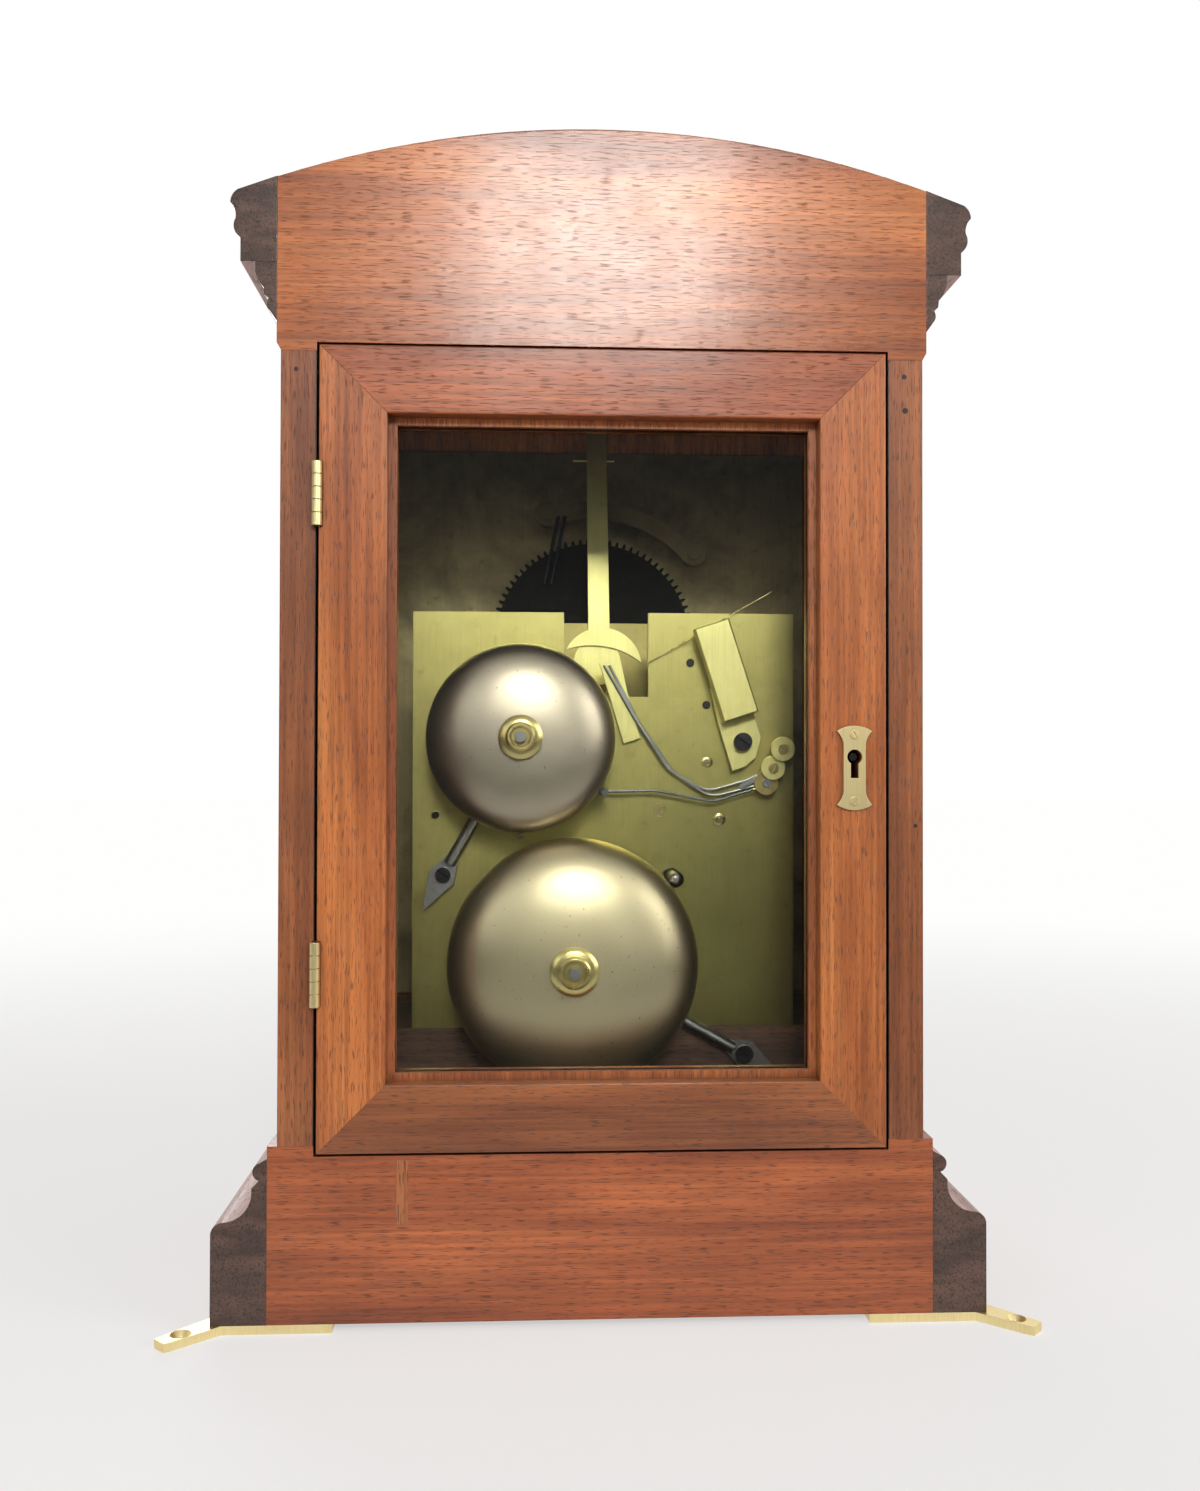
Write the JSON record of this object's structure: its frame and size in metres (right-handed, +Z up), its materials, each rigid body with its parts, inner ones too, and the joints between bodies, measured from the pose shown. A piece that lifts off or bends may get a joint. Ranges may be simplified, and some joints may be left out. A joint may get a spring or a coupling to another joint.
{
  "type": "ships bell clock",
  "caption": "Arch-topped wooden bracket clock with a glazed back door, a brass movement that strikes on domed bells, a hinged front bezel and brass hold-down brackets.",
  "frame": {"origin": "centre of the bounding box at the underside of the hold-down brackets", "axes": "+Z up; the dial faces -Y and the glazed back door faces +Y"},
  "size_m": [0.3466, 0.2272, 0.48],
  "materials": {
    "mahogany": "polished satin",
    "dark_wood": "unpolished",
    "case_brass": "polished",
    "aged_brass": "satin, lacquered",
    "steel": "worn",
    "blued_steel": "blued",
    "dark_steel": "dark, dull",
    "bell_metal": "brushed",
    "silvered": "silvered, matte",
    "glass": "clear"
  },
  "bodies": {
    "case": {"side_board_left": "mahogany", "side_board_right": "mahogany", "front_board": "mahogany", "back_head_board": "mahogany", "back_base_board": "mahogany", "bottom_board": "dark_wood", "roof_panel": "mahogany", "crown_gable": "mahogany", "crown_fascias": "mahogany", "bed_mould_front": "mahogany", "bed_mould_sides": "mahogany", "base_mould_front": "mahogany", "base_mould_sides": "mahogany", "seat_board": "dark_wood", "holddown_brackets": "case_brass", "hinge_case_leaves": "case_brass", "bezel_hinge": "case_brass", "dial_plate": "aged_brass", "dial_disc": "silvered", "back_plate": "aged_brass", "front_plate": "aged_brass", "movement_screws": "blued_steel", "arc_bracket": "aged_brass", "steady_strap": "aged_brass", "upper_cock": "aged_brass", "bell_stands": "steel", "large_bell": "bell_metal", "small_bell": "bell_metal", "bell_nuts": "aged_brass", "spring_studs": "aged_brass", "hammer_springs": "steel"},
    "back_door": {"door_hinge_stile": "mahogany", "door_lock_stile": "mahogany", "door_top_rail": "mahogany", "door_bottom_rail": "mahogany", "door_glass": "glass", "glazing_beads": "mahogany", "hinge_door_leaves": "case_brass", "escutcheon": "case_brass", "lock_case": "dark_steel"},
    "door_bolt": {"lock_bolt": "case_brass"},
    "bezel": {"bezel_ring": "case_brass", "bezel_glass": "glass"},
    "centre_arbor": {"centre_wheel": "aged_brass", "minute_hand": "blued_steel", "hand_nut": "aged_brass"},
    "motion_wheel": {"minute_wheel": "aged_brass"},
    "hour_arbor": {"hour_wheel": "aged_brass", "hour_hand": "blued_steel"},
    "bell_count": {"count_wheel": "dark_steel"},
    "going_power": {"going_barrel": "aged_brass"},
    "strike_power": {"strike_barrel": "aged_brass"},
    "third_arbor": {"third_wheel": "aged_brass"},
    "escape_arbor": {"escape_wheel": "aged_brass"},
    "balance": {"balance_wheel": "aged_brass"},
    "large_bell_hammer": {"large_hammer": "steel"},
    "small_bell_hammer": {"small_hammer": "blued_steel"},
    "let_off": {"let_off_lever": "aged_brass", "lever_weight": "aged_brass"}
  },
  "joints": [
    {"name": "door_hinge", "type": "hinge", "parent": "case", "child": "back_door", "pos_m": [0.1143, 0.1001, 0.2306], "axis": [0, 0, -1], "range_deg": [0, 100]},
    {"name": "bolt_slide", "type": "slide", "parent": "back_door", "child": "door_bolt", "axis": [-1, 0, 0], "range_m": [0, 0.007]},
    {"name": "bezel_hinge_joint", "type": "hinge", "parent": "case", "child": "bezel", "pos_m": [0.1114, -0.0781, 0.232], "axis": [0, 0, 1], "range_deg": [0, 110]},
    {"name": "centre_turn", "type": "hinge", "parent": "case", "child": "centre_arbor", "pos_m": [0, 0, 0.232], "axis": [0, -1, 0], "continuous": true},
    {"name": "motion_turn", "type": "hinge", "parent": "case", "child": "motion_wheel", "pos_m": [-0.00964, 0, 0.21824], "axis": [0, -1, 0], "continuous": true},
    {"name": "hour_turn", "type": "hinge", "parent": "case", "child": "hour_arbor", "pos_m": [0, 0, 0.232], "axis": [0, -1, 0], "continuous": true},
    {"name": "count_turn", "type": "hinge", "parent": "case", "child": "bell_count", "pos_m": [-0.001, 0, 0.285], "axis": [0, -1, 0], "continuous": true},
    {"name": "going_turn", "type": "hinge", "parent": "case", "child": "going_power", "pos_m": [0.02828, 0, 0.20372], "axis": [0, -1, 0], "continuous": true},
    {"name": "strike_turn", "type": "hinge", "parent": "case", "child": "strike_power", "pos_m": [-0.02828, 0, 0.20372], "axis": [0, -1, 0], "continuous": true},
    {"name": "third_turn", "type": "hinge", "parent": "case", "child": "third_arbor", "pos_m": [0.02543, 0, 0.24552], "axis": [0, -1, 0], "continuous": true},
    {"name": "escape_turn", "type": "hinge", "parent": "case", "child": "escape_arbor", "pos_m": [0.03159, 0, 0.26851], "axis": [0, -1, 0], "continuous": true},
    {"name": "balance_swing", "type": "hinge", "parent": "case", "child": "balance", "pos_m": [0.056, 0, 0.264], "axis": [0, -1, 0], "range_deg": [-120, 120]},
    {"name": "large_hammer_swing", "type": "hinge", "parent": "case", "child": "large_bell_hammer", "pos_m": [-0.0555, 0, 0.1997], "axis": [0, 1, 0], "range_deg": [0, 4]},
    {"name": "small_hammer_swing", "type": "hinge", "parent": "case", "child": "small_bell_hammer", "pos_m": [-0.0759, 0.035, 0.2161], "axis": [0, 1, 0], "range_deg": [0, 3]},
    {"name": "let_off_rock", "type": "hinge", "parent": "case", "child": "let_off", "pos_m": [-0.0652, 0.033, 0.2345], "axis": [0, 1, 0], "range_deg": [-4, 4]}
  ],
  "couplings": [
    {"joint": "motion_turn", "follows": "centre_turn", "ratio": -0.33333},
    {"joint": "hour_turn", "follows": "centre_turn", "ratio": 0.083333},
    {"joint": "count_turn", "follows": "centre_turn", "ratio": -0.083333},
    {"joint": "going_turn", "follows": "centre_turn", "ratio": -0.11111},
    {"joint": "third_turn", "follows": "centre_turn", "ratio": -8},
    {"joint": "escape_turn", "follows": "centre_turn", "ratio": 60}
  ]
}
